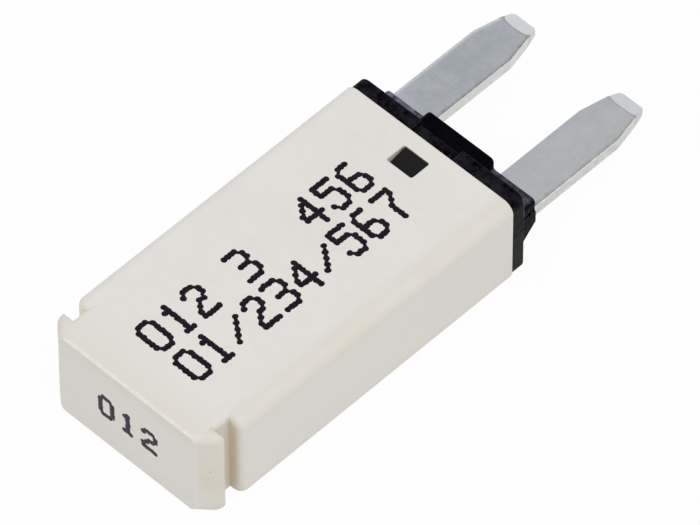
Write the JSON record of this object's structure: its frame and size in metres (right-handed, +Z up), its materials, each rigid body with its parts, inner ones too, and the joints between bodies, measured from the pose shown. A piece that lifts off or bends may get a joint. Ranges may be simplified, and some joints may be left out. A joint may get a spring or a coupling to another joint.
{
  "type": "blade thermal fuse",
  "caption": "Flat blade-type thermal fuse: white latched cap over a black base with parallel flat blades, and a bimetal contact arm sealed inside.",
  "frame": {"origin": "centre of the bounding box at the underside, lying on one broad face", "axes": "+X across the broad face, +Y from the closed head to the blade tips, +Z up through the thickness"},
  "size_m": [0.0126, 0.035, 0.0064],
  "materials": {
    "cap_plastic": "warm white moulded plastic, matte",
    "base_plastic": "black moulded plastic, slightly glossy edges",
    "tin_plate": "tin-plated copper alloy, satin",
    "bimetal": "rolled bimetal sheet, satin",
    "contact_silver": "silver contact alloy, satin"
  },
  "bodies": {
    "housing": {"housing_cap": "cap_plastic", "base_plug": "base_plastic", "terminal_left": "tin_plate", "terminal_right": "tin_plate", "fixed_contact": "contact_silver"},
    "contact_arm": {"bimetal_strip": "bimetal", "moving_contact": "contact_silver"}
  },
  "joints": [
    {"name": "bimetal_snap", "type": "hinge", "parent": "housing", "child": "contact_arm", "pos_m": [-0.00255, 0.0007, 0.0036], "axis": [-1, 0, 0], "range_deg": [0, 4], "stiffness_Nm_per_rad": 0.02}
  ]
}
